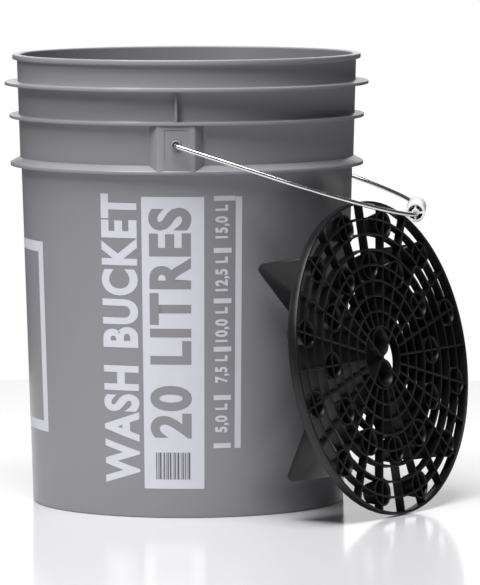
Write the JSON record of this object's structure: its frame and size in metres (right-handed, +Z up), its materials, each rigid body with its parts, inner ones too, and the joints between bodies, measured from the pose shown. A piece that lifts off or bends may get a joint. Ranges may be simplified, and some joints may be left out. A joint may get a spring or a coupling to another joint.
{
  "type": "wash bucket",
  "caption": "Tapered moulded pail with hoops, a swinging wire bail with a roller grip, and a round finned dirt insert leaning on its side.",
  "frame": {"origin": "centre of the pail's base, on the ground plane", "axes": "+Z up the pail, the bail's ears lie on Y, and the bail hangs towards +X"},
  "size_m": [0.4016, 0.3746, 0.388],
  "materials": {
    "pail_plastic": "mid-grey moulded polypropylene with a soft shine",
    "bail_steel": "bright zinc-plated round wire",
    "grip_plastic": "white moulded plastic",
    "insert_plastic": "black moulded plastic with a low sheen"
  },
  "bodies": {
    "pail": {"pail": "pail_plastic"},
    "bail": {"bail_wire": "bail_steel"},
    "grip": {"bail_grip": "grip_plastic"},
    "insert": {"insert_grille": "insert_plastic", "insert_fins": "insert_plastic"}
  },
  "joints": [
    {"name": "bail_swing", "type": "hinge", "parent": "pail", "child": "bail", "pos_m": [0, 0, 0.3168], "axis": [0, -1, 0], "range_deg": [0, 241]},
    {"name": "grip_spin", "type": "hinge", "parent": "bail", "child": "grip", "pos_m": [0.19868, 0, 0.25225], "axis": [0, 1, 0], "continuous": true},
    {"name": "insert_slide", "type": "slide", "parent": "pail", "child": "insert", "axis": [-0.319, -0.9478, 0], "range_m": [0, 0.3]}
  ]
}
